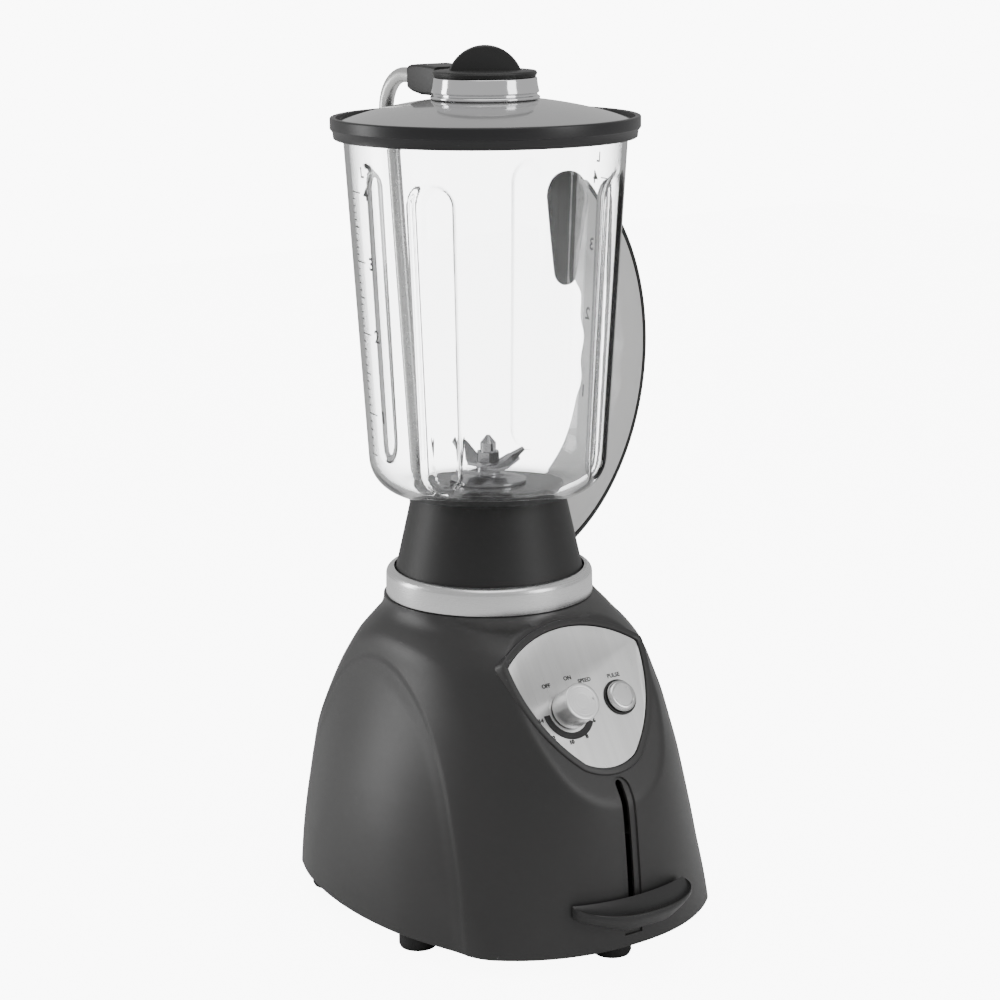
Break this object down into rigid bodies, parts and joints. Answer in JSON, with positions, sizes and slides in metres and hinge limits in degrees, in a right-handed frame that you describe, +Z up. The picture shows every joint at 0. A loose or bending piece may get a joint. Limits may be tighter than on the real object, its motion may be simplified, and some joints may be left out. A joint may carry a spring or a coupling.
{
  "type": "countertop blender",
  "caption": "Kitchen blender with clear fluted jug, clamped lid, tapered base, speed knob, pulse button and clamp lever.",
  "frame": {"origin": "on the table under the centre of the whole machine's outline", "axes": "+Z up, -Y towards the control panel, +X towards the jug handle's side"},
  "size_m": [0.2712, 0.302, 0.5664],
  "materials": {
    "moulded_grey": "satin",
    "black_plastic": "matte",
    "black_rubber": "matte",
    "satin_ring": "satin",
    "brushed_plate": "brushed",
    "turned_metal": "satin",
    "chrome_metal": "polished",
    "clear_jug": "clear",
    "grey_plastic": "gloss",
    "tube_steel": "satin",
    "bright_steel": "satin",
    "plate_steel": "satin",
    "laminations": "satin",
    "copper_wire": "satin",
    "board_green": "matte"
  },
  "bodies": {
    "base": {"base_housing": "moulded_grey", "base_plate": "plate_steel", "feet": "black_rubber", "foot_screws": "bright_steel", "plate_screws": "bright_steel", "inner_posts": "moulded_grey", "collar_ring": "satin_ring", "seat_pad": "black_rubber", "panel_plate": "brushed_plate", "dial_scale": "black_plastic", "speed_pot": "black_plastic", "pulse_bezel": "black_plastic", "pulse_switch": "black_plastic", "pulse_spring": "bright_steel", "clamp_rails": "bright_steel", "rail_screws": "bright_steel", "rod_bush": "black_plastic", "motor_deck": "plate_steel", "motor_bolts": "bright_steel", "motor_brackets": "turned_metal", "motor_bearings": "bright_steel", "motor_stator": "laminations", "motor_windings": "copper_wire", "control_board": "board_green", "board_parts": "black_plastic", "safety_switch": "black_plastic", "mains_inlet": "black_plastic", "jug": "clear_jug", "jug_collar": "black_plastic", "blade_holder": "bright_steel", "holder_nut": "bright_steel", "jug_bearings": "bright_steel", "shaft_seal": "black_rubber", "handle_body": "grey_plastic", "handle_strip": "black_plastic", "handle_pad": "black_plastic", "lid_rim": "black_rubber", "lid_dome": "grey_plastic", "filler_collar": "chrome_metal"},
    "knob": {"speed_knob": "turned_metal", "knob_shaft": "bright_steel"},
    "button": {"pulse_button": "turned_metal"},
    "clamp": {"clamp_lever": "moulded_grey", "lever_stem": "bright_steel", "clamp_yoke": "plate_steel"},
    "arm": {"clamp_arm": "tube_steel", "rod_clip": "bright_steel", "arm_head": "black_plastic"},
    "cap_ring": {"cap_seal": "black_rubber"},
    "cap": {"filler_cap": "black_plastic"},
    "rotor": {"motor_armature": "laminations", "motor_shaft": "bright_steel", "motor_fan": "black_plastic", "drive_coupling": "bright_steel"},
    "blades": {"blade_shaft": "bright_steel", "blade_washers": "bright_steel", "lower_blade": "bright_steel", "upper_blade": "bright_steel", "blade_nut": "bright_steel", "jug_coupling": "black_plastic"}
  },
  "joints": [
    {"name": "speed_turn", "type": "hinge", "parent": "base", "child": "knob", "pos_m": [-0.03921, -0.0854, 0.15873], "axis": [0, -0.829, 0.5592], "range_deg": [-175, 135]},
    {"name": "pulse_press", "type": "slide", "parent": "base", "child": "button", "axis": [0, 0.829, -0.5592], "range_m": [0, 0.0015], "stiffness_N_per_m": 600, "springref_m": -0.002},
    {"name": "clamp_lift", "type": "slide", "parent": "base", "child": "clamp", "axis": [0, 0.1132, 0.9936], "range_m": [0, 0.06]},
    {"name": "arm_swing", "type": "hinge", "parent": "clamp", "child": "arm", "pos_m": [-0.02061, 0.113, 0.249], "axis": [0, 0.1132, 0.9936], "range_deg": [-95, 95]},
    {"name": "cap_lift", "type": "slide", "parent": "base", "child": "cap_ring", "axis": [0, 0, 1], "range_m": [0, 0.04]},
    {"name": "cap_turn", "type": "hinge", "parent": "cap_ring", "child": "cap", "pos_m": [-0.02061, 0.027, 0.546], "axis": [0, 0, 1], "continuous": true},
    {"name": "motor_spin", "type": "hinge", "parent": "base", "child": "rotor", "pos_m": [-0.02061, 0.027, 0.12], "axis": [0, 0, 1], "continuous": true},
    {"name": "blade_spin", "type": "hinge", "parent": "base", "child": "blades", "pos_m": [-0.02061, 0.027, 0.29], "axis": [0, 0, 1], "continuous": true}
  ],
  "couplings": [
    {"joint": "blade_spin", "follows": "motor_spin", "ratio": 1}
  ]
}
